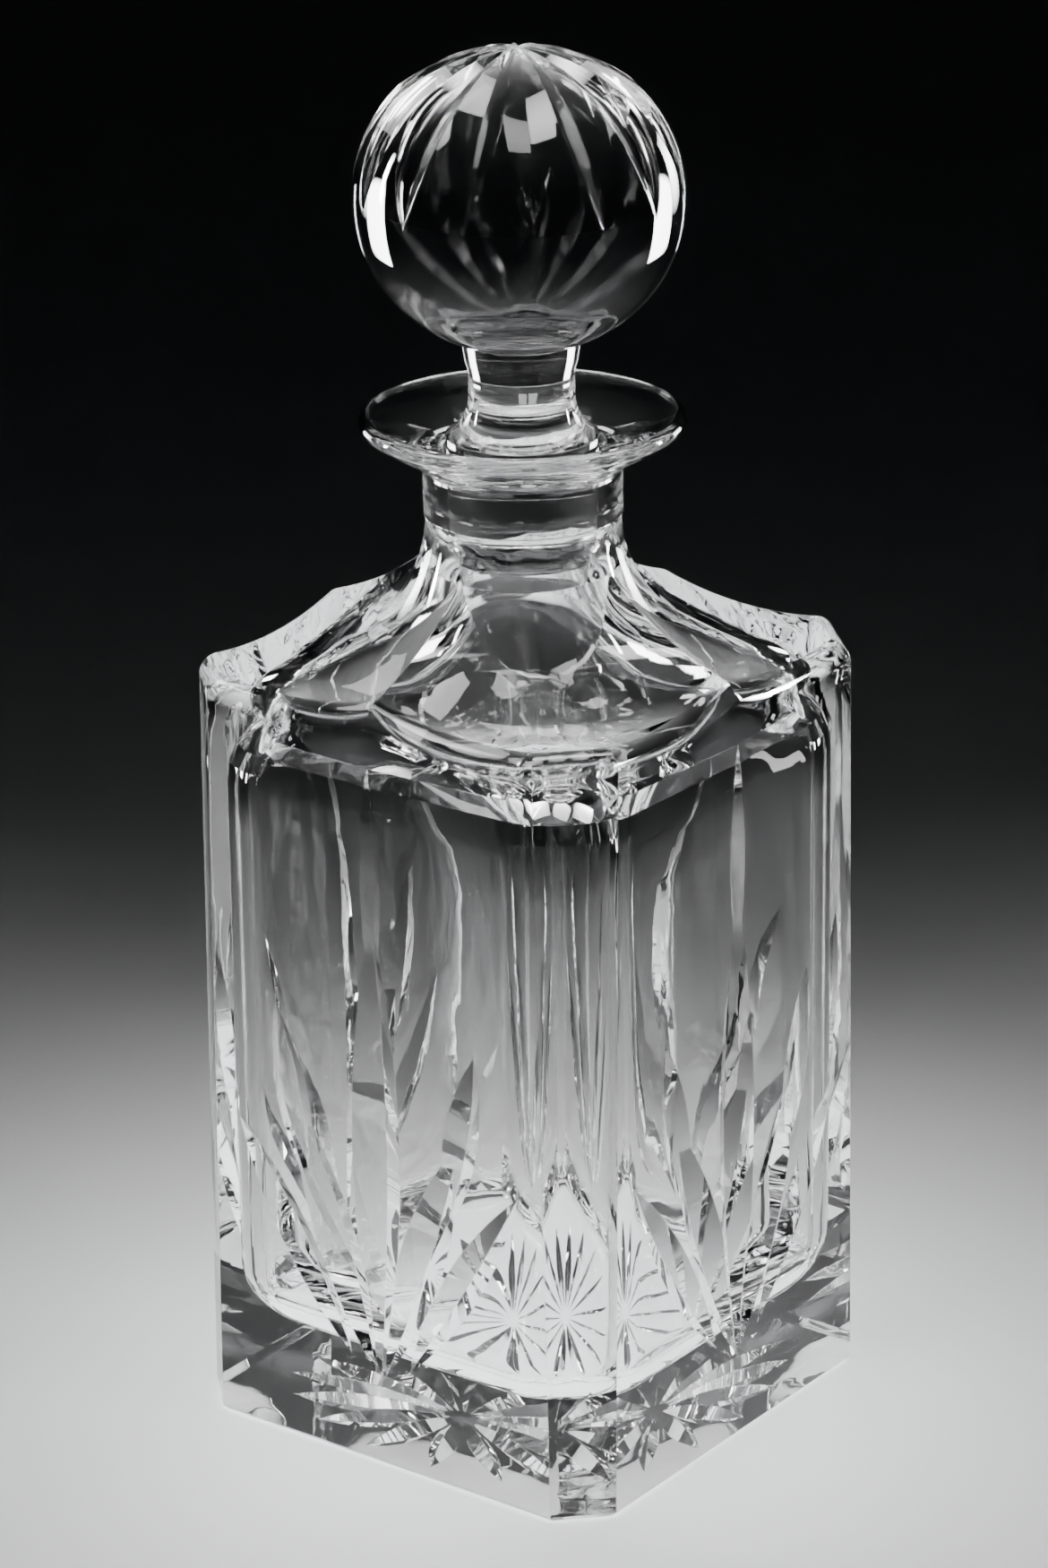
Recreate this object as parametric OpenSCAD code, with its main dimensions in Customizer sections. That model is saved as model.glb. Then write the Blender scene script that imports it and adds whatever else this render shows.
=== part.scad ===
// Square cut crystal decanter with a fluted ball stopper.
// Millimetres. Z is up, the base rests on z = 0, the faces look along X and Y.

/* [Overall] */
// Width of the square body across two opposite flat faces
body_w = 90; // [78:1:110]
// Height of the body from the table to the lowest line of the shoulder
edge_h = 140.3; // [116:0.1:172]
// Radius of the stopper ball at its widest
ball_r = 28.4; // [24:0.1:34]

/* [Body] */
// Width of the flat corner bevel taken off each face, at the shoulder
bevel_top = 10.3; // [7:0.1:13]
// Width of the flat corner bevel taken off each face, at the table
bevel_base = 8.2; // [6:0.1:11]
// Polished bevel round the foot
foot_bevel = 1.1; // [0.6:0.1:2]
// Thickness of the side walls
wall = 6.8; // [5.8:0.1:8.4]
// Thickness of the solid glass under the cavity
floor_t = 18; // [12:0.5:24]

/* [Neck] */
// Outside radius of the neck
neck_r = 17; // [16:0.1:20]
// How far the collar stands proud of the neck
collar_step = 0.3; // [0.2:0.1:0.8]
// Height of the plain collar above the shoulder flare
collar_h = 8; // [6:0.5:12]
// Outside radius of the flared rim
rim_r = 28.3; // [25:0.1:34]
// Height of the dish from the collar to the rim
rim_rise = 9.6; // [8:0.1:12]
// Radius of the rounded lip
lip_r = 1.4; // [1:0.1:1.8]

/* [Stopper] */
// Radius of the plug at its shoulder
plug_r = 13.3; // [11:0.1:14]
// How much smaller the plug is at its lower end
plug_taper = 0.8; // [0.4:0.1:1.4]
// Length of the ground plug
plug_len = 20; // [15:0.5:24]
// Clearance between the plug and the neck, all round
fit_gap = 0.15; // [0.1:0.05:0.4]
// Radius of the waist between the plug and the ball
waist_r = 9.2; // [8:0.1:10.5]
// Number of flutes round the ball
flute_n = 15; // [12:1:18]
// Depth of the flutes half way up the ball
flute_depth = 2.5; // [1.6:0.1:3]

/* [Cutting] */
// Depth of the tall middle leaf on each face
leaf_depth = 3; // [2:0.1:3.6]
// Half of the angle of the cutting wheel edge
wheel_half = 60; // [54:1:64]
// Depth of the star under the base
star_depth = 1.9; // [1.2:0.1:2.1]
// Number of rays of the star under the base
star_n = 16; // [8:1:16]
// Width of the whole star as a share of the body width
star_share = 0.82; // [0.6:0.02:0.84]

/* [Hidden] */
$fn = 120;
half_w = body_w / 2;

// shoulder: four wide scoops over the corners and a flare of the neck
shoulder_rise = body_w * 0.2856;
flare_z = edge_h + shoulder_rise;
scoop_r = body_w * 0.4222;
scoop_x = neck_r + body_w * 0.3122;
flare_r = shoulder_rise * 1.05;
flare_out = neck_r + flare_r;

// corner bevels lean out slightly towards the base
corner_top = (body_w - bevel_top) / sqrt(2);
corner_base = (body_w - bevel_base) / sqrt(2);
corner_lean = atan((corner_base - corner_top) / edge_h);

// neck, collar and dish
collar_r = neck_r + collar_step;
collar_top = flare_z + collar_h;
rim_h = collar_top + rim_rise;
lip_x = rim_r - lip_r;
lip_z = rim_h - lip_r;
mouth_z = collar_top + 2.8;
panel_in = neck_r - 0.35;
panel_wheel = 13;

// cavity
cav_half = half_w - wall;
cav_round = 12;
cav_low_round = 9;
cav_top = edge_h - 7.5;

// plug and bore share one taper
seat_z = mouth_z + 1.2;
plug_end = seat_z - plug_len;
plug_low_r = plug_r - plug_taper;
bore_end = plug_end - 1.6;
taper = plug_taper / plug_len;
bore_top_r = plug_r + fit_gap + taper * 20;
bore_low_r = plug_low_r + fit_gap - taper * (plug_end - bore_end);

// ball
waist_arc = 8;
ball_core = ball_r * 0.0845;
ball_arc = ball_r - ball_core;
ball_z = seat_z + 17.4 + ball_arc;
tip_up = 0.3;
chord_x = ball_r;
chord_z = ball_arc - tip_up;
chord = sqrt(chord_x * chord_x + chord_z * chord_z);
out_x = chord_z / chord;
out_z = chord_x / chord;
mid_x = chord_x / 2;
mid_z = (ball_arc + tip_up) / 2;
face_x = ball_core + ball_arc * cos(45);
face_z = ball_arc * sin(45);
sag = (face_x - mid_x) * out_x + (face_z - mid_z) * out_z - flute_depth;
crease_r = (chord * chord / 4 + sag * sag) / (2 * sag);
crease_x = mid_x + out_x * (sag - crease_r);
crease_z = mid_z + out_z * (sag - crease_r);
flute_half = 62;
star_half = 54;

// leaf pattern, as shares of the body width and of the edge height
leaf_top = edge_h * 0.75;
leaf_foot = edge_h * 0.115;

// stretch of the rim of a cutting wheel: it plunges deep into a face that looks along -X
module wheel_bite(len, deep, half) {
    rad = (len * len + deep * deep) / (2 * deep);
    rise = deep + 2;
    intersection() {
        translate([deep - rad, 0, 0])
            rotate([90, 0, 0])
                rotate_extrude()
                    polygon([[rad, 0], [rad - rise, rise * tan(half)], [rad - rise, -rise * tan(half)]]);
        translate([-1, -rise * tan(half), -len - 1])
            cube([deep + 2, rise * 2 * tan(half), len * 2 + 2]);
    }
}

// one leaf cut on the -Y face from a tip point to a foot point
module leaf(tip_u, tip_z, foot_u, foot_z, deep) {
    len = sqrt(pow(tip_u - foot_u, 2) + pow(tip_z - foot_z, 2)) / 2;
    lean = atan2(tip_u - foot_u, tip_z - foot_z);
    translate([(tip_u + foot_u) / 2, -half_w, (tip_z + foot_z) / 2])
        rotate([0, lean, 0])
            rotate([0, 0, 90])
                wheel_bite(len, deep, wheel_half);
}

// the fan of cuts on one face
module face_fan() {
    leaf(0, leaf_top, 0, leaf_foot, leaf_depth);
    leaf(0, edge_h * 0.945, 0, edge_h * 0.64, leaf_depth * 0.42);
    for (s = [-1, 1]) {
        leaf(s * body_w * 0.2, edge_h * 0.48, s * body_w * 0.012, leaf_foot * 1.12, leaf_depth * 0.9);
        leaf(s * body_w * 0.24, edge_h * 0.6, s * body_w * 0.17, edge_h * 0.36, leaf_depth * 0.7);
        leaf(s * body_w * 0.34, edge_h * 0.43, s * body_w * 0.07, leaf_foot * 1.25, leaf_depth * 0.7);
    }
}

// star of grooves under the base, every ray a leaf cut that stops short of the middle
module star() {
    near = body_w * 0.03;
    far = body_w * star_share / 2;
    for (i = [0 : star_n - 1])
        rotate([0, 0, (i + 0.5) * 360 / star_n])
            translate([(far + near) / 2, 0, 0])
                rotate([0, -90, 0])
                    wheel_bite((far - near) / 2, star_depth, star_half);
}

// leaning plane that takes one corner off
module corner_slab()
    translate([0, -corner_top, edge_h])
        rotate([-corner_lean, 0, 0])
            translate([-body_w, -body_w, -edge_h * 2])
                cube([body_w * 2, body_w, edge_h * 4]);

// bevel along one foot edge
module foot(dist)
    translate([0, -dist + foot_bevel, 0])
        rotate([45, 0, 0])
            translate([-body_w, -body_w, -20])
                cube([body_w * 2, body_w, 20]);

// solid block of the body with the shoulder scooped out over the corners
module block() {
    difference() {
        translate([-half_w, -half_w, 0])
            cube([body_w, body_w, flare_z]);
        for (i = [0 : 3])
            rotate([0, 0, 45 + 90 * i]) {
                corner_slab();
                translate([-body_w, -scoop_x, edge_h + scoop_r])
                    rotate([0, 90, 0])
                        cylinder(h = body_w * 2, r = scoop_r);
            }
    }
}

// flare of the neck down into the shoulder
module flare()
    rotate_extrude()
        difference() {
            translate([0, edge_h - 4])
                square([flare_out - flare_r * 0.35, shoulder_rise + 4]);
            translate([flare_out, flare_z])
                circle(r = flare_r);
        }

// collar and dished rim, outside shape
module collar()
    rotate_extrude()
        union() {
            polygon([
                [0, flare_z - 1.5],
                [neck_r - 1, flare_z - 1.5],
                [neck_r - 1, flare_z],
                [collar_r, flare_z],
                [collar_r, collar_top - 0.4],
                [collar_r + 0.9, collar_top + 1],
                [collar_r + 3.2, collar_top + 2.5],
                [lip_x + lip_r * 0.5, lip_z - lip_r * 0.866],
                [lip_x - lip_r * 0.5, lip_z + lip_r * 0.866],
                [0, lip_z + lip_r * 0.866]
            ]);
            translate([lip_x, lip_z])
                circle(r = lip_r);
        }

// narrow flat cut down the neck over the middle of one face
module panel()
    intersection() {
        translate([-20, -panel_in - panel_wheel, flare_z])
            rotate([0, 90, 0])
                cylinder(h = 40, r = panel_wheel);
        translate([-30, -panel_in - 30, flare_z - 30])
            cube([60, 60, 30]);
    }

// dish of the rim and bore of the neck
module bore()
    rotate_extrude()
        polygon([
            [0, bore_end - 3],
            [bore_low_r, bore_end - 3],
            [bore_low_r, bore_end],
            [plug_r + fit_gap - taper * (seat_z - mouth_z), mouth_z],
            [plug_r + fit_gap + 1.6, mouth_z + 1.7],
            [plug_r + fit_gap + (lip_x - plug_r) * 0.55, mouth_z + 3.3],
            [lip_x - lip_r * 0.5, lip_z + lip_r * 0.866],
            [lip_x - lip_r * 0.5, rim_h + 5],
            [0, rim_h + 5]
        ]);

// rounded square, for the cavity
module rounded(w, h, rad)
    union() {
        square([w - rad * 2, h], center = true);
        square([w, h - rad * 2], center = true);
        for (x = [-1, 1])
            for (y = [-1, 1])
                translate([x * (w / 2 - rad), y * (h / 2 - rad)])
                    circle(r = rad);
    }

// hollow of the body
module cavity() {
    cav_h = cav_top - floor_t;
    mid = (cav_top + floor_t) / 2;
    intersection() {
        translate([0, 0, floor_t - 1])
            linear_extrude(height = cav_h + 2)
                rounded(cav_half * 2, cav_half * 2, cav_round);
        translate([0, body_w / 2 + 1, mid])
            rotate([90, 0, 0])
                linear_extrude(height = body_w + 2)
                    rounded(cav_half * 2, cav_h, cav_low_round);
        rotate([0, 0, 90])
            translate([0, body_w / 2 + 1, mid])
                rotate([90, 0, 0])
                    linear_extrude(height = body_w + 2)
                        rounded(cav_half * 2, cav_h, cav_low_round);
    }
    rotate_extrude()
        polygon([
            [0, cav_top - 14],
            [cav_half * 0.8, cav_top - 14],
            [cav_half * 0.86, cav_top - 1.2],
            [cav_half * 0.62, cav_top + 4.4],
            [cav_half * 0.44, cav_top + shoulder_rise * 0.42],
            [bore_low_r, cav_top + shoulder_rise * 0.72],
            [bore_low_r, bore_end - 1],
            [0, bore_end - 1]
        ]);
}

// outside of the bottle before the wheel cuts
module blank() {
    difference() {
        block();
        for (i = [0 : 3])
            rotate([0, 0, 90 * i])
                foot(half_w);
        for (i = [0 : 3])
            rotate([0, 0, 45 + 90 * i])
                foot(corner_base);
    }
    flare();
    collar();
}

// blown and ground hollow
module hollow() {
    bore();
    cavity();
}

module bottle()
    color([0.86, 0.9, 0.93, 0.5])
        difference() {
            difference() {
                difference() {
                    blank();
                    hollow();
                }
                for (i = [0 : 3])
                    rotate([0, 0, 90 * i])
                        panel();
                star();
            }
            for (i = [0 : 3])
                rotate([0, 0, 90 * i])
                    face_fan();
        }

// one flute of the ball, in the half plane of +X
module flute()
    intersection() {
        translate([crease_x, 0, crease_z])
            rotate([90, 0, 0])
                rotate_extrude()
                    polygon([[crease_r, 0], [crease_r + 7, 7 * tan(flute_half)], [crease_r + 7, -7 * tan(flute_half)]]);
        translate([0, -ball_r * 0.3, -2])
            cube([ball_r * 1.1, ball_r * 0.6, ball_r + 2]);
    }

module stopper()
    color([0.9, 0.93, 0.96, 0.5]) {
        rotate([0, 0, 180 / flute_n])
            difference() {
                translate([0, 0, ball_z])
                    rotate_extrude() {
                        translate([0, -ball_arc])
                            square([ball_core, ball_arc * 2]);
                        difference() {
                            translate([ball_core, 0])
                                circle(r = ball_arc);
                            translate([-ball_r, -ball_r])
                                square([ball_r + ball_core, ball_r * 2]);
                        }
                    }
                for (i = [0 : flute_n - 1])
                    rotate([0, 0, (i + 0.5) * 360 / flute_n])
                        translate([0, 0, ball_z])
                            flute();
            }
        rotate_extrude()
            difference() {
                polygon([
                    [0, plug_end],
                    [plug_low_r - 0.5, plug_end],
                    [plug_low_r, plug_end + 0.5],
                    [plug_r, seat_z],
                    [plug_r, seat_z + waist_arc],
                    [waist_r, seat_z + waist_arc],
                    [waist_r, seat_z + 12.6],
                    [waist_r + 0.6, seat_z + 15],
                    [waist_r + 2.2, seat_z + 19],
                    [0, seat_z + 22]
                ]);
                translate([waist_r + waist_arc, seat_z + waist_arc + 0.8])
                    circle(r = waist_arc);
            }
    }

bottle();
stopper();
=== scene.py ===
"""Square cut crystal decanter with a fluted ball stopper. Metres, +Z up, resting on z = 0."""

import math

import bpy
from mathutils import Matrix, Vector


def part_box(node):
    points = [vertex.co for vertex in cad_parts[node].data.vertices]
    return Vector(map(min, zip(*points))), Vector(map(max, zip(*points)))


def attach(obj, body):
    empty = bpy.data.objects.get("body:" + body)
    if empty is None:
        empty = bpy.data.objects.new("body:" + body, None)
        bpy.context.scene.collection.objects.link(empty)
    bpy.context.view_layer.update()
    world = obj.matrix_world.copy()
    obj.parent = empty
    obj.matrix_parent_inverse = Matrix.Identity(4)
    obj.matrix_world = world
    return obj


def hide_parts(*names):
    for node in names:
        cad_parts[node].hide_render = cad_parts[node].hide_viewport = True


MM = 0.001
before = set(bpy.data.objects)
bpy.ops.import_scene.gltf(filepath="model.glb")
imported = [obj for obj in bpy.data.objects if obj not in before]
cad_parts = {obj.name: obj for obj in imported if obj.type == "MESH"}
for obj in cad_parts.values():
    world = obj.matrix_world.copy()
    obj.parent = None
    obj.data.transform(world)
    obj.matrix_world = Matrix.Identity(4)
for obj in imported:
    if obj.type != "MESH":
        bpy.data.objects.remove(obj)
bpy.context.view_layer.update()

# ---------------------------------------------------------------- sizes, taken from the frame

BOTTLE_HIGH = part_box("bottle")[1]
STOPPER_LOW, STOPPER_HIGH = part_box("stopper")

HALF = BOTTLE_HIGH.x                    # from the middle to a side face
RIM_TOP = BOTTLE_HIGH.z                 # top of the lip
BALL_R = STOPPER_HIGH.x                 # widest radius of the ball
PLUG_END = STOPPER_LOW.z                # underside of the plug

WIDTH = HALF * 2
LIP_R = 1.4 * MM
RIM_RISE = 9.6 * MM
COLLAR_H = 8 * MM
COLLAR_TOP = RIM_TOP - RIM_RISE         # where the rim starts to spread
FLARE_Z = COLLAR_TOP - COLLAR_H         # where the neck meets its collar
SHOULDER_RISE = WIDTH * 0.2856
EDGE_H = FLARE_Z - SHOULDER_RISE        # height of the shoulder's corners
NECK_R = 17 * MM
COLLAR_STEP = 0.3 * MM
COLLAR_R = NECK_R + COLLAR_STEP
RIM_R = 28.3 * MM
LIP_X = RIM_R - LIP_R
LIP_Z = RIM_TOP - LIP_R

SCOOP_R = WIDTH * 0.4222
SCOOP_X = NECK_R + WIDTH * 0.3122
FLARE_R = SHOULDER_RISE * 1.05
FLARE_X = NECK_R + FLARE_R
BEVEL_TOP = 10.3 * MM                   # corner bevel where it meets the shoulder
BEVEL_BASE = 8.2 * MM                   # and at the foot
CORNER_TOP = (WIDTH - BEVEL_TOP) / math.sqrt(2)
CORNER_BASE = (WIDTH - BEVEL_BASE) / math.sqrt(2)
FOOT_BEVEL = 1.1 * MM
EDGE_ROLL = 4.6 * MM                    # rounding between the faces and the shoulder
ROLL_SWEEP = 70                         # how far it turns, in degrees

WALL = 6.8 * MM
FLOOR_T = 18 * MM
CAV_HALF = HALF - WALL
CAV_TOP = EDGE_H - 7.5 * MM
CAV_CORNER = 12 * MM                    # rounding of its upright corners
CAV_FLOOR_ROUND = 9 * MM                # rounding between its walls and its floor

PLUG_R = 13.3 * MM
PLUG_TAPER = 0.8 * MM
PLUG_LEN = 20 * MM
PLUG_LOW_R = PLUG_R - PLUG_TAPER
FIT_GAP = 0.15 * MM
SEAT_Z = PLUG_END + PLUG_LEN
MOUTH_Z = COLLAR_TOP + 2.8 * MM
TAPER = (PLUG_R - PLUG_LOW_R) / (SEAT_Z - PLUG_END)
BORE_END = PLUG_END - 1.6 * MM
BORE_LOW_R = PLUG_LOW_R + FIT_GAP - TAPER * (PLUG_END - BORE_END)
WAIST_R = 9.2 * MM
WAIST_ARC = 8 * MM                      # radius of the curve from the plug in to the waist
BALL_FOOT = 17.4 * MM                   # from the plug's shoulder to the underside of the ball

PANEL_WHEEL_R = 13 * MM
PANEL_DEPTH = 0.35 * MM
LEAF_DEPTH = 3 * MM
WHEEL_HALF = math.radians(60)           # half of the angle of the wheel's edge
STAR_HALF = math.radians(54)
STAR_DEPTH = 1.9 * MM
STAR_RAYS = 16
FLUTES = 15
FLUTE_DEPTH = 2.5 * MM
FLUTE_HALF = math.radians(62)
FLUTE_TIP_UP = 0.3 * MM                 # how far above the ball's middle the flutes end
CREASE_DROP = 0.12 * MM                 # makes the flutes cross cleanly at the top of the ball

LATHE_STEPS = 192
SHARP = math.radians(14)                # edges sharper than this stay crisp
CLOSER = 2e-6                           # points nearer than this are merged after the cuts

UP = Vector((0, 0, 1))


# ---------------------------------------------------------------- bench work

def deselect():
    if bpy.context.object and bpy.context.object.mode != "OBJECT":
        bpy.ops.object.mode_set(mode="OBJECT")
    bpy.ops.object.select_all(action="DESELECT")


def only(piece):
    deselect()
    piece.select_set(True)
    bpy.context.view_layer.objects.active = piece


def named(name):
    piece = bpy.context.object
    piece.name = name
    piece.data.name = name
    return piece


def settle(piece):
    """Puts the piece's place and turn into its mesh."""
    only(piece)
    bpy.ops.object.transform_apply(location=True, rotation=True, scale=True)
    return piece


def copy_turned(piece, angle, name):
    """A copy with its own mesh, turned about the upright axis."""
    only(piece)
    bpy.ops.object.duplicate()
    copy = named(name)
    copy.rotation_euler = (0, 0, angle)
    return settle(copy)


def placed(piece, matrix):
    """Moves a piece to its place and settles it there."""
    piece.matrix_world = matrix
    return settle(piece)


def joined(pieces, name):
    deselect()
    for p in pieces:
        p.select_set(True)
    bpy.context.view_layer.objects.active = pieces[0]
    bpy.ops.object.join()
    return named(name)


def carve(piece, tool, how="DIFFERENCE"):
    """Cuts the piece with a closed tool, or adds the tool to it, and clears the tool away."""
    only(piece)
    cut = piece.modifiers.new("carve", "BOOLEAN")
    cut.operation = how
    cut.solver = "EXACT"
    cut.object = tool
    bpy.ops.object.modifier_apply(modifier=cut.name)
    bpy.data.objects.remove(tool)
    return piece


def edit(piece, picks="VERT", select="SELECT"):
    """Goes into edit mode with everything, or nothing, selected."""
    only(piece)
    bpy.ops.object.mode_set(mode="EDIT")
    bpy.ops.mesh.select_mode(type=picks)
    bpy.ops.mesh.select_all(action=select)


def done():
    bpy.ops.object.mode_set(mode="OBJECT")


def slice_off(piece, point, normal):
    """Grinds away what lies beyond a plane and closes the cut with a face."""
    edit(piece)
    bpy.ops.mesh.bisect(plane_co=point, plane_no=normal, use_fill=True, clear_outer=True)
    done()


def clean(piece, closer=1e-6):
    """Merges doubled points, clears edges without length and turns every face outwards."""
    edit(piece)
    bpy.ops.mesh.remove_doubles(threshold=closer)
    bpy.ops.mesh.dissolve_degenerate(threshold=closer)
    bpy.ops.mesh.normals_make_consistent(inside=False)
    done()
    return piece


def lathe(outline, name, steps=LATHE_STEPS):
    """Spins an outline of (radius, height) points about the upright axis into a closed solid."""
    deselect()
    bpy.ops.mesh.primitive_plane_add(size=1)
    piece = named(name)
    edit(piece)
    bpy.ops.mesh.merge(type="CENTER")
    r, z = outline[0]
    bpy.ops.transform.translate(value=(r, 0, z))
    for (r0, z0), (r1, z1) in zip(outline, outline[1:]):
        bpy.ops.mesh.extrude_region_move(TRANSFORM_OT_translate={"value": (r1 - r0, 0, z1 - z0)})
    bpy.ops.mesh.select_all(action="SELECT")
    bpy.ops.mesh.spin(steps=steps, angle=math.tau, center=(0, 0, 0), axis=(0, 0, 1))
    done()
    return clean(piece)


def arc(centre, radius, start, end, steps):
    """Points (radius, height) along an arc, with its angles in degrees from the outward way."""
    turns = [math.radians(start + (end - start) * i / steps) for i in range(steps + 1)]
    return [(centre[0] + radius * math.cos(t), centre[1] + radius * math.sin(t)) for t in turns]


def wobble(i):
    """A small unevenness from one cut to the next, between -1 and 1, the same on each run."""
    return math.sin(i * 7.3)


# ---------------------------------------------------------------- cutting wheels

def wheel_rim(radius, sweep, half, rise, name, steps=28):
    """A stretch of the sharp rim of a cutting wheel. Its deepest point is at the origin and points
    along +Y, the wheel's middle is at -radius on Y, and the rim runs along Z."""
    deselect()
    bpy.ops.mesh.primitive_circle_add(vertices=3, radius=rise / 1.5, fill_type="NGON")
    rim = named(name)
    edit(rim)
    widen = math.tan(half) * math.sqrt(3)
    bpy.ops.transform.resize(value=(widen, 1, 1), center_override=(0, 0, 0))
    bpy.ops.transform.translate(value=(0, -rise / 1.5, 0))
    bpy.ops.transform.rotate(value=-sweep / 2, orient_axis="X", center_override=(0, -radius, 0))
    bpy.ops.mesh.spin(steps=steps, angle=sweep, center=(0, -radius, 0), axis=(1, 0, 0))
    done()
    return clean(rim)


def leaf_tool(tip, foot, deep, half, name):
    """The wheel's bite for one leaf on the face at -Y, from its tip (across, up) to its foot."""
    across, up = tip[0] - foot[0], tip[1] - foot[1]
    length = math.hypot(across, up) / 2
    radius = (length * length + deep * deep) / (2 * deep)
    sweep = 2 * math.asin(min(1, length * 1.12 / radius))
    rim = wheel_rim(radius, sweep, half, deep * 2.2, name)
    lean = math.atan2(across, up)
    middle = Vector(((tip[0] + foot[0]) / 2, -HALF + deep, (tip[1] + foot[1]) / 2))
    return placed(rim, Matrix.Translation(middle) @ Matrix.Rotation(lean, 4, "Y"))


def united(tools, name):
    """Overlapping tools as one closed tool."""
    whole = tools[0]
    for tool in tools[1:]:
        carve(whole, tool, "UNION")
    only(whole)
    return named(name)


def leaf_fan():
    """All the leaves of one face, as one tool."""
    tip, foot = EDGE_H * 0.75, EDGE_H * 0.115
    leaves = [
        ((0, tip), (0, foot), LEAF_DEPTH),
        ((0, EDGE_H * 0.945), (0, EDGE_H * 0.64), LEAF_DEPTH * 0.42),
    ]
    for side in (-1, 1):
        out = side * WIDTH
        leaves += [
            ((out * 0.2, EDGE_H * 0.48), (out * 0.012, foot * 1.12), LEAF_DEPTH * 0.9),
            ((out * 0.24, EDGE_H * 0.6), (out * 0.17, EDGE_H * 0.36), LEAF_DEPTH * 0.7),
            ((out * 0.34, EDGE_H * 0.43), (out * 0.07, foot * 1.25), LEAF_DEPTH * 0.7),
        ]
    tools = [leaf_tool(*leaf, WHEEL_HALF, f"leaf_{i}") for i, leaf in enumerate(leaves)]
    return united(tools, "leaf_fan")


def star_ray(i):
    """The tool for one ray of the star under the base, which stops short of the middle."""
    near, far = WIDTH * (0.034 + 0.004 * wobble(i)), WIDTH * 0.41
    length = (far - near) / 2
    radius = (length * length + STAR_DEPTH * STAR_DEPTH) / (2 * STAR_DEPTH)
    sweep = 2 * math.asin(length * 1.12 / radius)
    rim = wheel_rim(radius, sweep, STAR_HALF, STAR_DEPTH * 2.2, "star_ray", steps=20)
    out = Matrix.Translation(((near + far) / 2, 0, STAR_DEPTH))
    lie = Matrix.Rotation(math.radians(90), 4, "Z") @ Matrix.Rotation(math.radians(90), 4, "X")
    turn = Matrix.Rotation((i + 0.5 + 0.012 * wobble(i)) * math.tau / STAR_RAYS, 4, "Z")
    return placed(rim, turn @ out @ lie)


# ---------------------------------------------------------------- the bottle

def shoulder_height(way):
    """Height of a scoop at a distance from the middle towards its corner, and its slope there."""
    off = way - SCOOP_X
    drop = math.sqrt(SCOOP_R * SCOOP_R - off * off)
    return EDGE_H + SCOOP_R - drop, off / drop


def roll_tool(reach, path, name):
    """The rounding of one top edge of the face at -Y, carried along a path of (across, height)."""
    section = [(-reach - 2 * MM, 0), (-reach - 0.02 * MM, 0)]
    for i in range(1, 9):
        turn = math.radians(ROLL_SWEEP * i / 8)
        section.append((-reach + EDGE_ROLL * (1 - math.cos(turn)), EDGE_ROLL * math.sin(turn)))
    y, z = section[-1]
    section += [(y + 1.6 * MM, z + 0.6 * MM), (y + 3.5 * MM, z + 3.9 * MM)]
    section += [(y + 3.5 * MM, z + 14 * MM), (-reach - 2 * MM, z + 14 * MM)]
    deselect()
    bpy.ops.mesh.primitive_plane_add(size=1)
    tool = named(name)
    edit(tool)
    bpy.ops.mesh.merge(type="CENTER")
    x, start = path[0]
    bpy.ops.transform.translate(value=(x, section[0][0], start + section[0][1]))
    for (y0, z0), (y1, z1) in zip(section, section[1:]):
        bpy.ops.mesh.extrude_region_move(TRANSFORM_OT_translate={"value": (0, y1 - y0, z1 - z0)})
    bpy.ops.mesh.select_all(action="SELECT")
    bpy.ops.mesh.edge_face_add()
    for (x0, z0), (x1, z1) in zip(path, path[1:]):
        bpy.ops.mesh.extrude_region_move(TRANSFORM_OT_translate={"value": (x1 - x0, 0, z1 - z0)})
    done()
    return clean(tool)


def edge_rolls():
    """The eight tools that round the top edges: four along the faces, four over the corners."""
    path = []
    reach_in = EDGE_ROLL * (1 - math.cos(math.radians(ROLL_SWEEP)))
    rise = EDGE_ROLL * math.sin(math.radians(ROLL_SWEEP))
    for i in range(-36, 37):
        across = i / 36 * HALF * 1.08
        height, slope = shoulder_height((HALF + abs(across)) / math.sqrt(2))
        path.append((across, height - slope / math.sqrt(2) * reach_in - rise))
    height, slope = shoulder_height(CORNER_TOP)
    level = height - slope * reach_in - rise
    side = roll_tool(HALF, path, "side_roll")
    corner = roll_tool(CORNER_TOP + 0.04 * MM, [(-HALF, level), (HALF, level)], "corner_roll")
    rolls = [side, copy_turned(corner, math.radians(45), "corner_roll_0")]
    for i in (1, 2, 3):
        rolls.append(copy_turned(side, math.radians(90 * i), f"side_roll_{i}"))
        rolls.append(copy_turned(corner, math.radians(45 + 90 * i), f"corner_roll_{i}"))
    bpy.data.objects.remove(corner)
    return rolls


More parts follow.
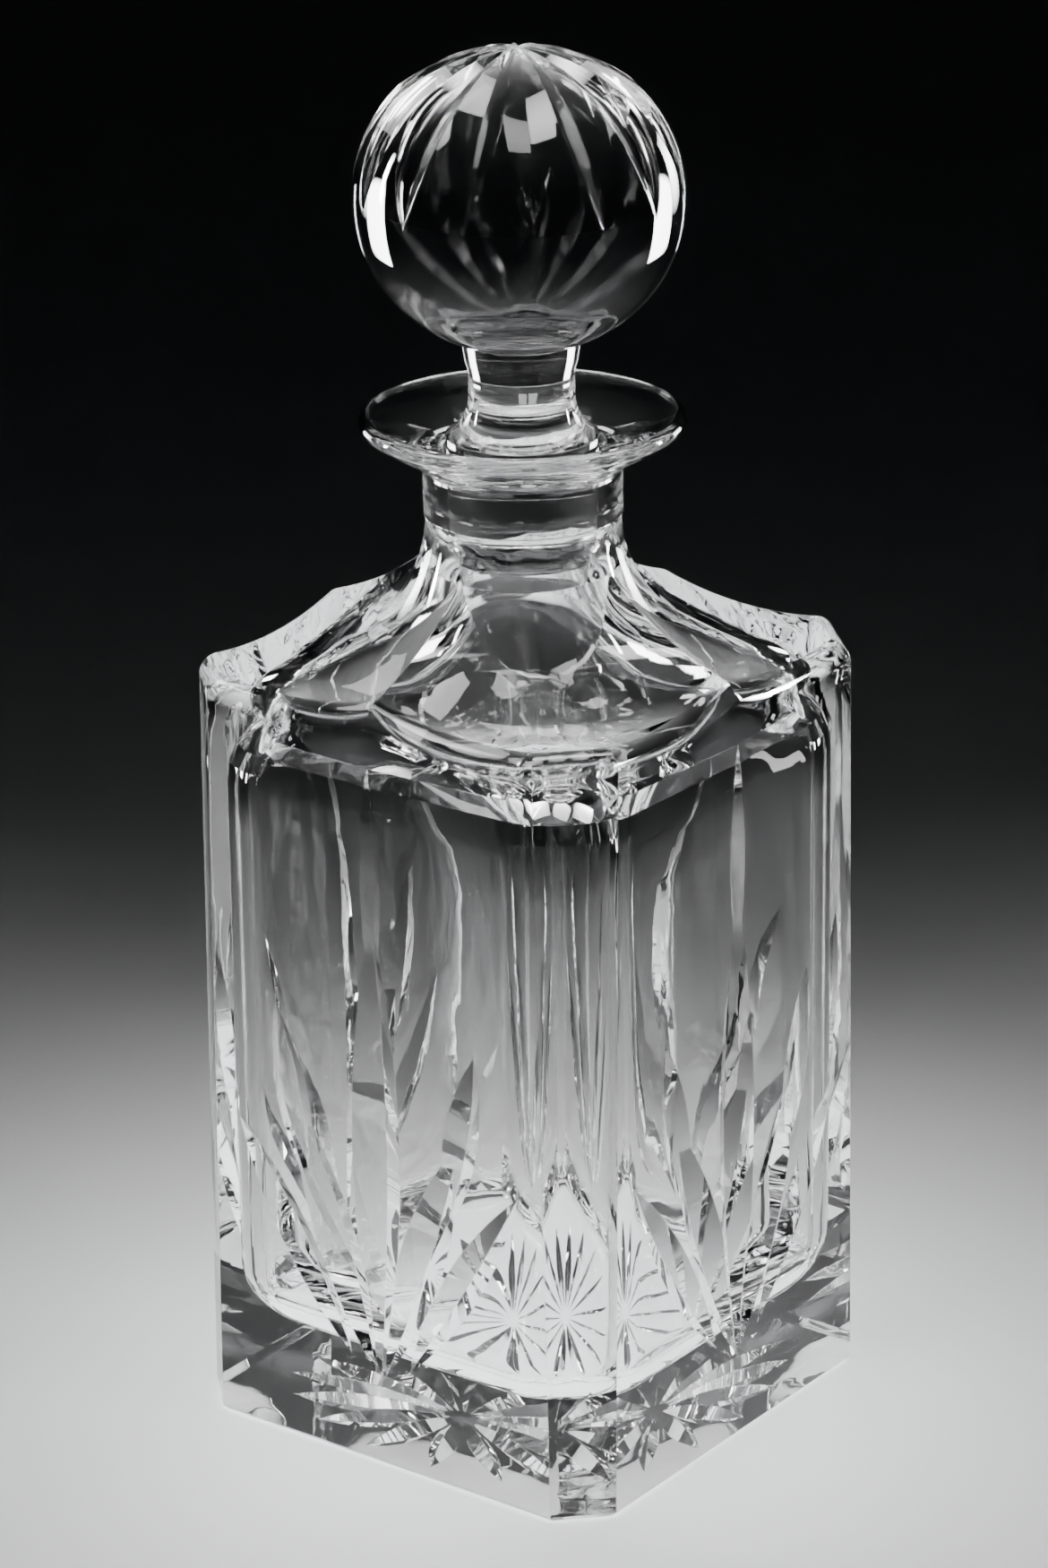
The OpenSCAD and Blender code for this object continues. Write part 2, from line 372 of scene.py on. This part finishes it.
def block():
    """The square body with bevelled corners and four scoops over them."""
    deselect()
    bpy.ops.mesh.primitive_cube_add(
        size=1,
        location=(0, 0, FLARE_Z / 2),
        scale=(WIDTH, WIDTH, FLARE_Z),
    )
    body = settle(named("body_block"))
    for i in range(4):
        way = Vector((math.cos(math.radians(45 + 90 * i)), math.sin(math.radians(45 + 90 * i)), 0))
        lean = way * EDGE_H + UP * (CORNER_BASE - CORNER_TOP)
        slice_off(body, way * CORNER_BASE, lean.normalized())
    for i in range(4):
        turn = math.radians(45 + 90 * i)
        way = Vector((math.cos(turn), math.sin(turn), 0))
        deselect()
        bpy.ops.mesh.primitive_cylinder_add(
            vertices=256,
            radius=SCOOP_R,
            depth=WIDTH * 2,
            location=way * SCOOP_X + UP * (EDGE_H + SCOOP_R),
            rotation=(math.radians(90), 0, turn),
        )
        carve(body, settle(named("scoop")))
    clean(body)
    for tool in edge_rolls():
        carve(body, tool)
    clean(body)
    for i in range(8):
        turn = math.radians(45 * i)
        way = Vector((math.cos(turn), math.sin(turn), 0))
        reach = HALF if i % 2 == 0 else CORNER_BASE
        slice_off(body, way * (reach - FOOT_BEVEL), (way - UP).normalized())
    return body


def neck():
    """The flare, the collar and the dished rim, still without a bore."""
    share = 0.35                        # how far down its arc the flare starts
    low_r = FLARE_X - FLARE_R * share
    turn = math.degrees(math.asin(share))
    outline = [(0, EDGE_H - 4 * MM), (low_r, EDGE_H - 4 * MM)]
    outline += arc((FLARE_X, FLARE_Z), FLARE_R, 270 - turn, 180, 26)
    outline += [
        (COLLAR_R, FLARE_Z),
        (COLLAR_R, COLLAR_TOP - 0.4 * MM),
        (COLLAR_R + 0.3 * MM, COLLAR_TOP + 0.4 * MM),
        (COLLAR_R + 0.9 * MM, COLLAR_TOP + 1.1 * MM),
        (COLLAR_R + 1.9 * MM, COLLAR_TOP + 1.8 * MM),
        (COLLAR_R + 3.2 * MM, COLLAR_TOP + 2.6 * MM),
    ]
    outline += arc((LIP_X, LIP_Z), LIP_R, -60, 118, 14)
    dish = PLUG_R + FIT_GAP
    outline += [
        (dish + (LIP_X - PLUG_R) * 0.78, MOUTH_Z + 4.75 * MM),
        (dish + (LIP_X - PLUG_R) * 0.55, MOUTH_Z + 3.3 * MM),
        (dish + (LIP_X - PLUG_R) * 0.34, MOUTH_Z + 2.3 * MM),
        (dish + 1.0 * MM, MOUTH_Z + 1.3 * MM),
        (0, MOUTH_Z + 1.3 * MM),
    ]
    return lathe(outline, "neck_blank")


def panel_wheel(i):
    """The wheel for the narrow flat panel down the neck over one face."""
    radius, inner = PANEL_WHEEL_R, NECK_R - PANEL_DEPTH
    turn = math.radians(90 * i)
    way = Vector((math.cos(turn), math.sin(turn), 0))
    deselect()
    bpy.ops.mesh.primitive_cylinder_add(
        vertices=192,
        radius=radius,
        depth=40 * MM,
        location=way * (inner + radius) + UP * FLARE_Z,
        rotation=(math.radians(90), 0, turn),
    )
    wheel = settle(named("panel_wheel"))
    slice_off(wheel, (0, 0, FLARE_Z), UP)
    return wheel


def hollow():
    """The blown cavity: a rounded square that draws in to the round bore and opens at the mouth."""
    deselect()
    bpy.ops.mesh.primitive_plane_add(size=CAV_HALF * 2, location=(0, 0, 0))
    inside = named("cavity")
    corner_round = CAV_CORNER
    edit(inside)
    bpy.ops.mesh.bevel(offset=corner_round, segments=14, profile=0.5, affect="VERTICES")
    bpy.ops.mesh.select_all(action="DESELECT")
    bpy.ops.mesh.select_mode(type="EDGE")
    done()
    for edge in inside.data.edges:
        a, b = (inside.data.vertices[i].co for i in edge.vertices)
        edge.select = (a - b).length > corner_round
    bpy.ops.object.mode_set(mode="EDIT")
    bpy.ops.mesh.subdivide(number_cuts=18)
    bpy.ops.mesh.select_mode(type="VERT")
    bpy.ops.mesh.select_all(action="SELECT")

    def level(z, half, round_off=0.0):
        """Moves the selected ring to a height and a half width, and makes it rounder if asked."""
        inside.update_from_editmode()
        ring = [v.co for v in inside.data.vertices if v.select]
        reach = max(abs(p.x) for p in ring)
        here = sum(p.z for p in ring) / len(ring)
        if round_off:
            bpy.ops.transform.tosphere(value=round_off)
            inside.update_from_editmode()
            reach = max(abs(v.co.x) for v in inside.data.vertices if v.select)
        grow = half / reach
        bpy.ops.transform.resize(value=(grow, grow, 1), center_override=(0, 0, here))
        bpy.ops.transform.translate(value=(0, 0, z - here))

    low_round = CAV_FLOOR_ROUND
    level(FLOOR_T, CAV_HALF - low_round)
    for i in range(1, 9):
        turn = math.radians(90 * i / 8)
        bpy.ops.mesh.extrude_region_move()
        level(
            FLOOR_T + low_round * (1 - math.cos(turn)),
            CAV_HALF - low_round * (1 - math.sin(turn)),
        )
    for i in range(1, 12):
        bpy.ops.mesh.extrude_region_move()
        share = i / 12
        level(FLOOR_T + low_round + (CAV_TOP - 13 * MM - FLOOR_T - low_round) * share, CAV_HALF)
    shoulder = [
        (CAV_TOP - 13 * MM, 1, 0),
        (CAV_TOP - 9.5 * MM, 0.995, 0.04),
        (CAV_TOP - 6.2 * MM, 0.975, 0.08),
        (CAV_TOP - 3.2 * MM, 0.93, 0.13),
        (CAV_TOP - 0.8 * MM, 0.865, 0.18),
        (CAV_TOP + 1.2 * MM, 0.785, 0.24),
        (CAV_TOP + 3.2 * MM, 0.695, 0.3),
        (CAV_TOP + 5.4 * MM, 0.605, 0.4),
        (CAV_TOP + 7.9 * MM, 0.525, 0.5),
        (CAV_TOP + 10.8 * MM, 0.455, 0.7),
        (CAV_TOP + 14.2 * MM, 0.395, 1),
        (CAV_TOP + 18.2 * MM, 0.35, 1),
    ]
    for z, share, round_off in shoulder:
        bpy.ops.mesh.extrude_region_move()
        level(z, CAV_HALF * share, round_off)
    top_r = PLUG_R + FIT_GAP - TAPER * (SEAT_Z - MOUTH_Z)
    bore = [
        (BORE_END - 1.4 * MM, BORE_LOW_R * 0.995),
        (BORE_END, BORE_LOW_R),
        (MOUTH_Z, top_r),
        (MOUTH_Z + 0.7 * MM, top_r + 0.25 * MM),
        (MOUTH_Z + 1.3 * MM, top_r + 0.8 * MM),
        (MOUTH_Z + 2.1 * MM, top_r + 1.9 * MM),
        (RIM_TOP + 4 * MM, top_r + 2.0 * MM),
    ]
    for z, r in bore:
        bpy.ops.mesh.extrude_region_move()
        level(z, r, 1)
    done()
    return clean(inside)


def bottle():
    body = block()
    for i in range(STAR_RAYS):
        carve(body, star_ray(i))
    carve(body, neck(), "UNION")
    for i in range(4):
        carve(body, panel_wheel(i))
    fan = leaf_fan()
    fans = [fan] + [copy_turned(fan, math.radians(90 * i), f"fan_{i}") for i in (1, 2, 3)]
    carve(body, joined(fans, "fans"))
    carve(body, hollow())
    clean(body, CLOSER)
    only(body)
    piece = named("bottle_body")
    bpy.ops.object.shade_smooth_by_angle(angle=SHARP)
    return piece


# ---------------------------------------------------------------- the stopper

def stopper():
    """The ground plug, the waist and the fluted ball, turned in one piece and then cut."""
    core = BALL_R * 0.0845
    ball_arc = BALL_R - core
    ball_z = SEAT_Z + BALL_FOOT + ball_arc
    outline = [
        (0, PLUG_END),
        (PLUG_LOW_R - 0.5 * MM, PLUG_END),
        (PLUG_LOW_R - 0.15 * MM, PLUG_END + 0.15 * MM),
        (PLUG_LOW_R, PLUG_END + 0.5 * MM),
        (PLUG_R, SEAT_Z),
    ]
    arc_z = SEAT_Z + WAIST_ARC + 0.8 * MM
    reach = WAIST_R + WAIST_ARC - PLUG_R
    start = 180 + math.degrees(math.acos(min(1, reach / WAIST_ARC)))
    outline += arc((WAIST_R + WAIST_ARC, arc_z), WAIST_ARC, start, 180, 16)
    outline += [(WAIST_R, SEAT_Z + 12.6 * MM), (WAIST_R + 0.15 * MM, SEAT_Z + 13.8 * MM)]
    outline += [(WAIST_R + 0.6 * MM, SEAT_Z + 15 * MM)]
    join_r = WAIST_R + 1.1 * MM
    low = -math.degrees(math.acos((join_r - core) / ball_arc))
    outline += arc((core, ball_z), ball_arc, low, 90, 42)
    outline += [(0, ball_z + ball_arc)]
    blank = lathe(outline, "stopper_blank", steps=157)
    ball = copy_turned(blank, math.radians(0.4), "stopper_turned")
    bpy.data.objects.remove(blank)

    tip_up = FLUTE_TIP_UP
    chord = math.hypot(BALL_R, ball_arc - tip_up)
    out_x, out_z = (ball_arc - tip_up) / chord, BALL_R / chord
    mid_x, mid_z = BALL_R / 2, (ball_arc + tip_up) / 2
    face_x = core + ball_arc * math.cos(math.radians(45))
    face_z = ball_arc * math.sin(math.radians(45))
    sag = (face_x - mid_x) * out_x + (face_z - mid_z) * out_z - FLUTE_DEPTH
    crease_r = (chord * chord / 4 + sag * sag) / (2 * sag)
    crease_x = mid_x + out_x * (sag - crease_r)
    crease_z = mid_z + out_z * (sag - crease_r)
    for i in range(FLUTES):
        uneven = wobble(i)
        flute = flute_tool(
            crease_r,
            crease_x + 0.04 * MM * uneven,
            ball_z + crease_z - CREASE_DROP,
        )
        carve(ball, copy_turned(flute, (i + 0.01 * uneven) * math.tau / FLUTES, "flute_copy"))
        bpy.data.objects.remove(flute)
    clean(ball, CLOSER)
    only(ball)
    piece = named("stopper_ball")
    bpy.ops.object.shade_smooth_by_angle(angle=SHARP)
    return piece


def flute_tool(radius, x, z):
    """The inside of a hollow wheel: its sharp edge points at the ball and runs round its crease."""
    deselect()
    rise = 7 * MM
    start, end = math.radians(14), math.radians(112)
    bpy.ops.mesh.primitive_circle_add(vertices=3, radius=rise / 1.5, fill_type="NGON")
    tool = named("flute")
    edit(tool)
    widen = math.tan(FLUTE_HALF) * math.sqrt(3)
    bpy.ops.transform.resize(value=(widen, -1, 1), center_override=(0, 0, 0))
    bpy.ops.transform.translate(value=(0, radius + rise / 1.5, 0))
    bpy.ops.mesh.spin(steps=56, angle=-start - end, center=(0, 0, 0), axis=(1, 0, 0))
    done()
    clean(tool)
    stand = Matrix.Rotation(math.radians(-90), 4, "Z") @ Matrix.Rotation(-start, 4, "X")
    placed(tool, Matrix.Translation((x, 0, z)) @ stand)
    slice_off(tool, (-0.25 * MM, 0, 0), (-1, 0, 0))
    return tool


# ---------------------------------------------------------------- finishes

def group(name, inputs, outputs):
    """An empty shader node group with named number inputs (name, value) and named outputs."""
    tree = bpy.data.node_groups.new(name, "ShaderNodeTree")
    for words, value in inputs:
        socket = tree.interface.new_socket(words, in_out="INPUT", socket_type="NodeSocketFloat")
        socket.default_value = value
    for words, kind in outputs:
        tree.interface.new_socket(words, in_out="OUTPUT", socket_type=kind)
    return tree, tree.nodes.new("NodeGroupInput"), tree.nodes.new("NodeGroupOutput")


def noise(tree, place, scale, detail, rough=0.5, stretch=None):
    """Noise on object coordinates, whose scale is in metres, and stretched if asked."""
    if stretch:
        mapping = tree.nodes.new("ShaderNodeMapping")
        mapping.inputs["Scale"].default_value = stretch
        tree.links.new(place, mapping.inputs["Vector"])
        place = mapping.outputs["Vector"]
    node = tree.nodes.new("ShaderNodeTexNoise")
    node.inputs["Scale"].default_value = scale
    node.inputs["Detail"].default_value = detail
    node.inputs["Roughness"].default_value = rough
    tree.links.new(place, node.inputs["Vector"])
    return node.outputs["Fac"]


def math_node(tree, how, a, b, clamp=False):
    """One sum of two values, each a number or another node's output."""
    node = tree.nodes.new("ShaderNodeMath")
    node.operation = how
    node.use_clamp = clamp
    for socket, value in zip(node.inputs, (a, b)):
        if isinstance(value, (int, float)):
            socket.default_value = value
        else:
            tree.links.new(value, socket)
    return node.outputs[0]


def stretch_range(tree, value, low, high):
    """Spreads the stretch of a value from low to high over the whole of 0 to 1, with soft ends."""
    node = tree.nodes.new("ShaderNodeMapRange")
    node.interpolation_type = "SMOOTHSTEP"
    tree.links.new(value, node.inputs["Value"])
    node.inputs["From Min"].default_value = low
    node.inputs["From Max"].default_value = high
    return node.outputs["Result"]


def smear_group():
    """Faint wiping marks and finger marks, as the roughness they leave."""
    tree, given, out = group(
        "smears",
        [("Amount", 0.5)],
        [("Roughness", "NodeSocketFloat")],
    )
    place = tree.nodes.new("ShaderNodeTexCoord").outputs["Object"]
    patches = stretch_range(tree, noise(tree, place, 38, 2), 0.5, 0.72)
    wipes = stretch_range(tree, noise(tree, place, 160, 4, 0.65, (1, 1, 0.22)), 0.42, 0.75)
    specks = stretch_range(tree, noise(tree, place, 2100, 1), 0.72, 0.8)
    marks = math_node(tree, "MULTIPLY", patches, wipes)
    marks = math_node(tree, "ADD", marks, math_node(tree, "MULTIPLY", specks, 0.35), clamp=True)
    mask = math_node(tree, "MULTIPLY", marks, given.outputs["Amount"])
    tree.links.new(math_node(tree, "MULTIPLY", mask, 0.16), out.inputs["Roughness"])
    return tree


def ripple_group():
    """Slow ripples of hand polished glass, with fine wheel marks, as a height in metres."""
    tree, given, out = group(
        "ripples",
        [("Ripple", 1.0)],
        [("Height", "NodeSocketFloat")],
    )
    coords = tree.nodes.new("ShaderNodeTexCoord").outputs["Object"]
    slow = noise(tree, coords, 55, 1, 0.4, (1, 1, 0.3))
    swell = noise(tree, coords, 120, 1, 0.4)
    fine = noise(tree, coords, 900, 2, 0.5, (1, 1, 0.15))
    height = math_node(tree, "MULTIPLY", slow, 0.00016)
    height = math_node(tree, "ADD", height, math_node(tree, "MULTIPLY", swell, 0.00003))
    height = math_node(tree, "MULTIPLY", height, given.outputs["Ripple"])
    lines = math_node(tree, "MULTIPLY", fine, 0.0000012)
    tree.links.new(math_node(tree, "ADD", height, lines), out.inputs["Height"])
    return tree


SMEARS = smear_group()
RIPPLES = ripple_group()
CRYSTAL_IOR = 1.545
EDGE_SOFTENING = 0.3 * MM
SHADE = (0.93, 0.94, 0.95, 1)           # light that passes through into the shadow


def place_group(material, tree, **values):
    """Puts a node group into a material, with its numbers set."""
    node = material.node_tree.nodes.new("ShaderNodeGroup")
    node.node_tree = tree
    for words, value in values.items():
        node.inputs[words].default_value = value
    return node


def crystal(name, ripple, smears):
    """Clear polished lead crystal. Its shadow lets most of the light through."""
    material = bpy.data.materials.new(name)
    material.use_nodes = True
    nodes, links = material.node_tree.nodes, material.node_tree.links
    nodes.clear()
    out = nodes.new("ShaderNodeOutputMaterial")
    glass = nodes.new("ShaderNodeBsdfPrincipled")
    glass.inputs["Base Color"].default_value = (1, 1, 1, 1)
    glass.inputs["Transmission Weight"].default_value = 1
    glass.inputs["IOR"].default_value = CRYSTAL_IOR

    marks = place_group(material, SMEARS, Amount=smears)
    links.new(marks.outputs["Roughness"], glass.inputs["Roughness"])
    waves = place_group(material, RIPPLES, Ripple=ripple)
    edges = nodes.new("ShaderNodeBevel")
    edges.samples = 3
    edges.inputs["Radius"].default_value = EDGE_SOFTENING
    bump = nodes.new("ShaderNodeBump")
    bump.inputs["Strength"].default_value = 1
    bump.inputs["Distance"].default_value = 1
    links.new(waves.outputs["Height"], bump.inputs["Height"])
    links.new(edges.outputs["Normal"], bump.inputs["Normal"])
    links.new(bump.outputs["Normal"], glass.inputs["Normal"])

    clear = nodes.new("ShaderNodeBsdfTransparent")
    clear.inputs["Color"].default_value = SHADE
    path = nodes.new("ShaderNodeLightPath")
    mix = nodes.new("ShaderNodeMixShader")
    links.new(path.outputs["Is Shadow Ray"], mix.inputs["Fac"])
    links.new(glass.outputs["BSDF"], mix.inputs[1])
    links.new(clear.outputs["BSDF"], mix.inputs[2])
    links.new(mix.outputs["Shader"], out.inputs["Surface"])
    return material


def floor_finish():
    """Plain pale studio floor with a faint unevenness."""
    material = bpy.data.materials.new("pale_floor")
    material.use_nodes = True
    tree = material.node_tree
    shader = tree.nodes["Principled BSDF"]
    coords = tree.nodes.new("ShaderNodeTexCoord").outputs["Object"]
    ramp = tree.nodes.new("ShaderNodeMix")
    ramp.data_type = "RGBA"
    tree.links.new(noise(tree, coords, 9, 3), ramp.inputs["Factor"])
    ramp.inputs["A"].default_value = (0.70, 0.70, 0.70, 1)
    ramp.inputs["B"].default_value = (0.76, 0.76, 0.755, 1)
    tree.links.new(ramp.outputs["Result"], shader.inputs["Base Color"])
    shader.inputs["Roughness"].default_value = 0.55
    return material


# ---------------------------------------------------------------- pieces in place

bottle_body = bottle()
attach(bottle_body, "bottle")
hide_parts("bottle")
bottle_body.data.materials.append(crystal("bottle_crystal", ripple=1.0, smears=0.55))

stopper_ball = stopper()
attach(stopper_ball, "stopper")
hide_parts("stopper")
stopper_ball.data.materials.append(crystal("stopper_crystal", ripple=0.25, smears=0.45))

# ---------------------------------------------------------------- studio

FLOOR_R = 3
FLOOR_DROP = 0.02 * MM                  # keeps the floor from sharing the foot's plane

deselect()
bpy.ops.mesh.primitive_circle_add(
    vertices=128,
    radius=FLOOR_R,
    fill_type="NGON",
    location=(0, 0, -FLOOR_DROP),
)
floor = named("studio_floor")
floor.data.materials.append(floor_finish())

scene = bpy.context.scene
world = bpy.data.worlds.new("studio")
scene.world = world
world.use_nodes = True
background = world.node_tree.nodes["Background"]
background.inputs["Color"].default_value = (0.75, 0.8, 0.9, 1)
background.inputs["Strength"].default_value = 0.004

CENTRE = Vector((0, 0, 0.11))


def softbox(name, azimuth, height, distance, size, power, aim, spread):
    """A rectangular lamp at an azimuth round the decanter, turned to face a point on it. Its light
    stays within an angle of spread degrees."""
    turn = math.radians(azimuth)
    spot = Vector((math.sin(turn) * distance, -math.cos(turn) * distance, height))
    data = bpy.data.lights.new(name, "AREA")
    data.shape = "RECTANGLE"
    data.size, data.size_y = size
    data.energy = power
    data.spread = math.radians(spread)
    lamp = bpy.data.objects.new(name, data)
    lamp.location = spot
    lamp.rotation_euler = (spot - aim).to_track_quat("Z", "Y").to_euler()
    scene.collection.objects.link(lamp)


VIEW = 36.9                             # azimuth that the camera looks from, in degrees
BALL = Vector((0, 0, 0.205))            # low in the ball, for lamps that light its flutes
NECK = Vector((0, 0, 0.19))
FOOT = Vector((0.02, -0.03, 0))         # on the floor, a little in front of the decanter

for side in (-1, 1):
    strip = VIEW + side * 106
    rear = VIEW + side * 132
    crown = VIEW + side * 85
    softbox(f"side_{side}", strip, 0.23, 0.42, (0.026, 0.3), 0.18, NECK, spread=26)
    softbox(f"rear_{side}", rear, 0.2, 0.55, (0.13, 0.26), 0.14, BALL, spread=30)
    softbox(f"crown_{side}", crown, 0.44, 0.16, (0.12, 0.16), 0.09, BALL, spread=50)
softbox("pool", VIEW, 0.7, 0.03, (0.2, 0.2), 0.12, FOOT, spread=24)
for across in (-1, 1):
    for row in (0, 1):
        softbox(
            f"window_{across}_{row}",
            VIEW + 188 + across * 7,
            0.86 + 0.02 * row,
            0.33 + 0.075 * row,
            (0.06, 0.062),
            0.012,
            CENTRE,
            spread=26,
        )

# ---------------------------------------------------------------- camera

PICTURE_HEIGHT = 1750
FOCAL = 6038.97                         # in the same unit as the picture's height
SENSOR = 36
CAMERA_PLACE = Vector((0.53374, -0.71125, 0.45451))
CAMERA_ROLL = math.radians(-0.756)
right_way = Vector((0.74698, 0.56122, 0)).normalized()
forward = Vector((-0.56122, 0.74698, -0.35643)).normalized()
up_way = right_way.cross(forward)
tilted_right = right_way * math.cos(CAMERA_ROLL) + up_way * math.sin(CAMERA_ROLL)
tilted_up = up_way * math.cos(CAMERA_ROLL) - right_way * math.sin(CAMERA_ROLL)
view = bpy.data.cameras.new("view")
view.sensor_fit = "VERTICAL"
view.sensor_height = SENSOR
view.sensor_width = SENSOR
view.lens = FOCAL / PICTURE_HEIGHT * SENSOR
view.clip_start = 0.05
camera = bpy.data.objects.new("view", view)
turned = Matrix((tilted_right, tilted_up, -forward)).transposed().to_4x4()
camera.matrix_world = Matrix.Translation(CAMERA_PLACE) @ turned
scene.collection.objects.link(camera)
scene.camera = camera

scene.cycles.max_bounces = 28
scene.cycles.transmission_bounces = 26
scene.cycles.transparent_max_bounces = 24
scene.cycles.glossy_bounces = 12
scene.cycles.caustics_refractive = True
scene.cycles.caustics_reflective = True
